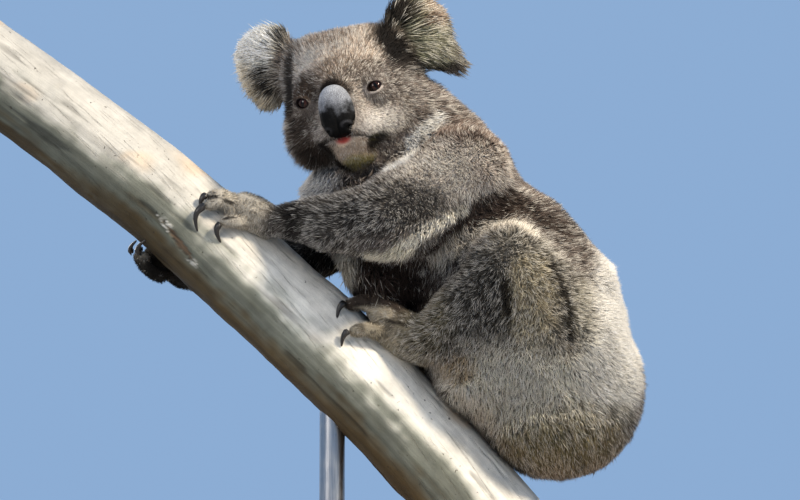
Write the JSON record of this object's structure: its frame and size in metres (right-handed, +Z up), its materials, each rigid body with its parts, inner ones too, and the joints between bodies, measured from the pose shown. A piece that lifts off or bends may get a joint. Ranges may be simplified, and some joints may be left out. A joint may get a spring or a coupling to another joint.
{
  "type": "koala",
  "caption": "Life-size still koala clinging to a cut length of sloping gum branch on a plain display stand, head turned to look out over its shoulder.",
  "frame": {"origin": "centre of the base's underside, on the floor, at Z = 0", "axes": "+Z up; the branch climbs towards -X; the animal's left side and its face look towards -Y"},
  "size_m": [0.6922, 0.3, 0.6267],
  "materials": {
    "coat": "dense woolly grizzled grey-brown fur, white on chest and rump",
    "ear_fur": "long soft pale ear hair over dark grey",
    "paw_fur": "short tan-grey fur over hands and feet",
    "nose_leather": "bare black pebbled skin, half gloss",
    "horn": "dark grey-black claw horn, half gloss",
    "eye": "wet dark brown eye",
    "gum_bark": "smooth pale gum bark with grey streaks and small scars",
    "base_board": "dark oiled timber board with rounded corners",
    "stand_metal": "satin steel rod"
  },
  "bodies": {
    "root": {"perch_branch": "gum_bark", "eye_l": "eye", "eye_r": "eye", "nose": "nose_leather", "trunk": "coat", "neck": "coat", "head": "coat", "ear_l": "ear_fur", "ear_r": "ear_fur", "thigh_l": "coat", "shank_l": "coat", "foot_l": "paw_fur", "upper_arm_l": "coat", "forearm_l": "coat", "hand_l": "paw_fur", "thigh_r": "coat", "shank_r": "coat", "foot_r": "paw_fur", "upper_arm_r": "coat", "forearm_r": "coat", "hand_r": "paw_fur", "claw_hand_l_5": "horn", "claw_hand_l_4": "horn", "claw_hand_l_3": "horn", "claw_hand_l_2": "horn", "claw_hand_l_1": "horn", "claw_hand_r_5": "horn", "claw_hand_r_4": "horn", "claw_hand_r_3": "horn", "claw_hand_r_2": "horn", "claw_hand_r_1": "horn", "claw_foot_l_5": "horn", "claw_foot_l_4": "horn", "claw_foot_l_3": "horn", "claw_foot_l_2": "horn", "claw_foot_r_5": "horn", "claw_foot_r_4": "horn", "claw_foot_r_3": "horn", "claw_foot_r_2": "horn", "stand_base": "base_board", "stand_rod_1": "stand_metal", "stand_rod_2": "stand_metal"}
  },
  "joints": []
}
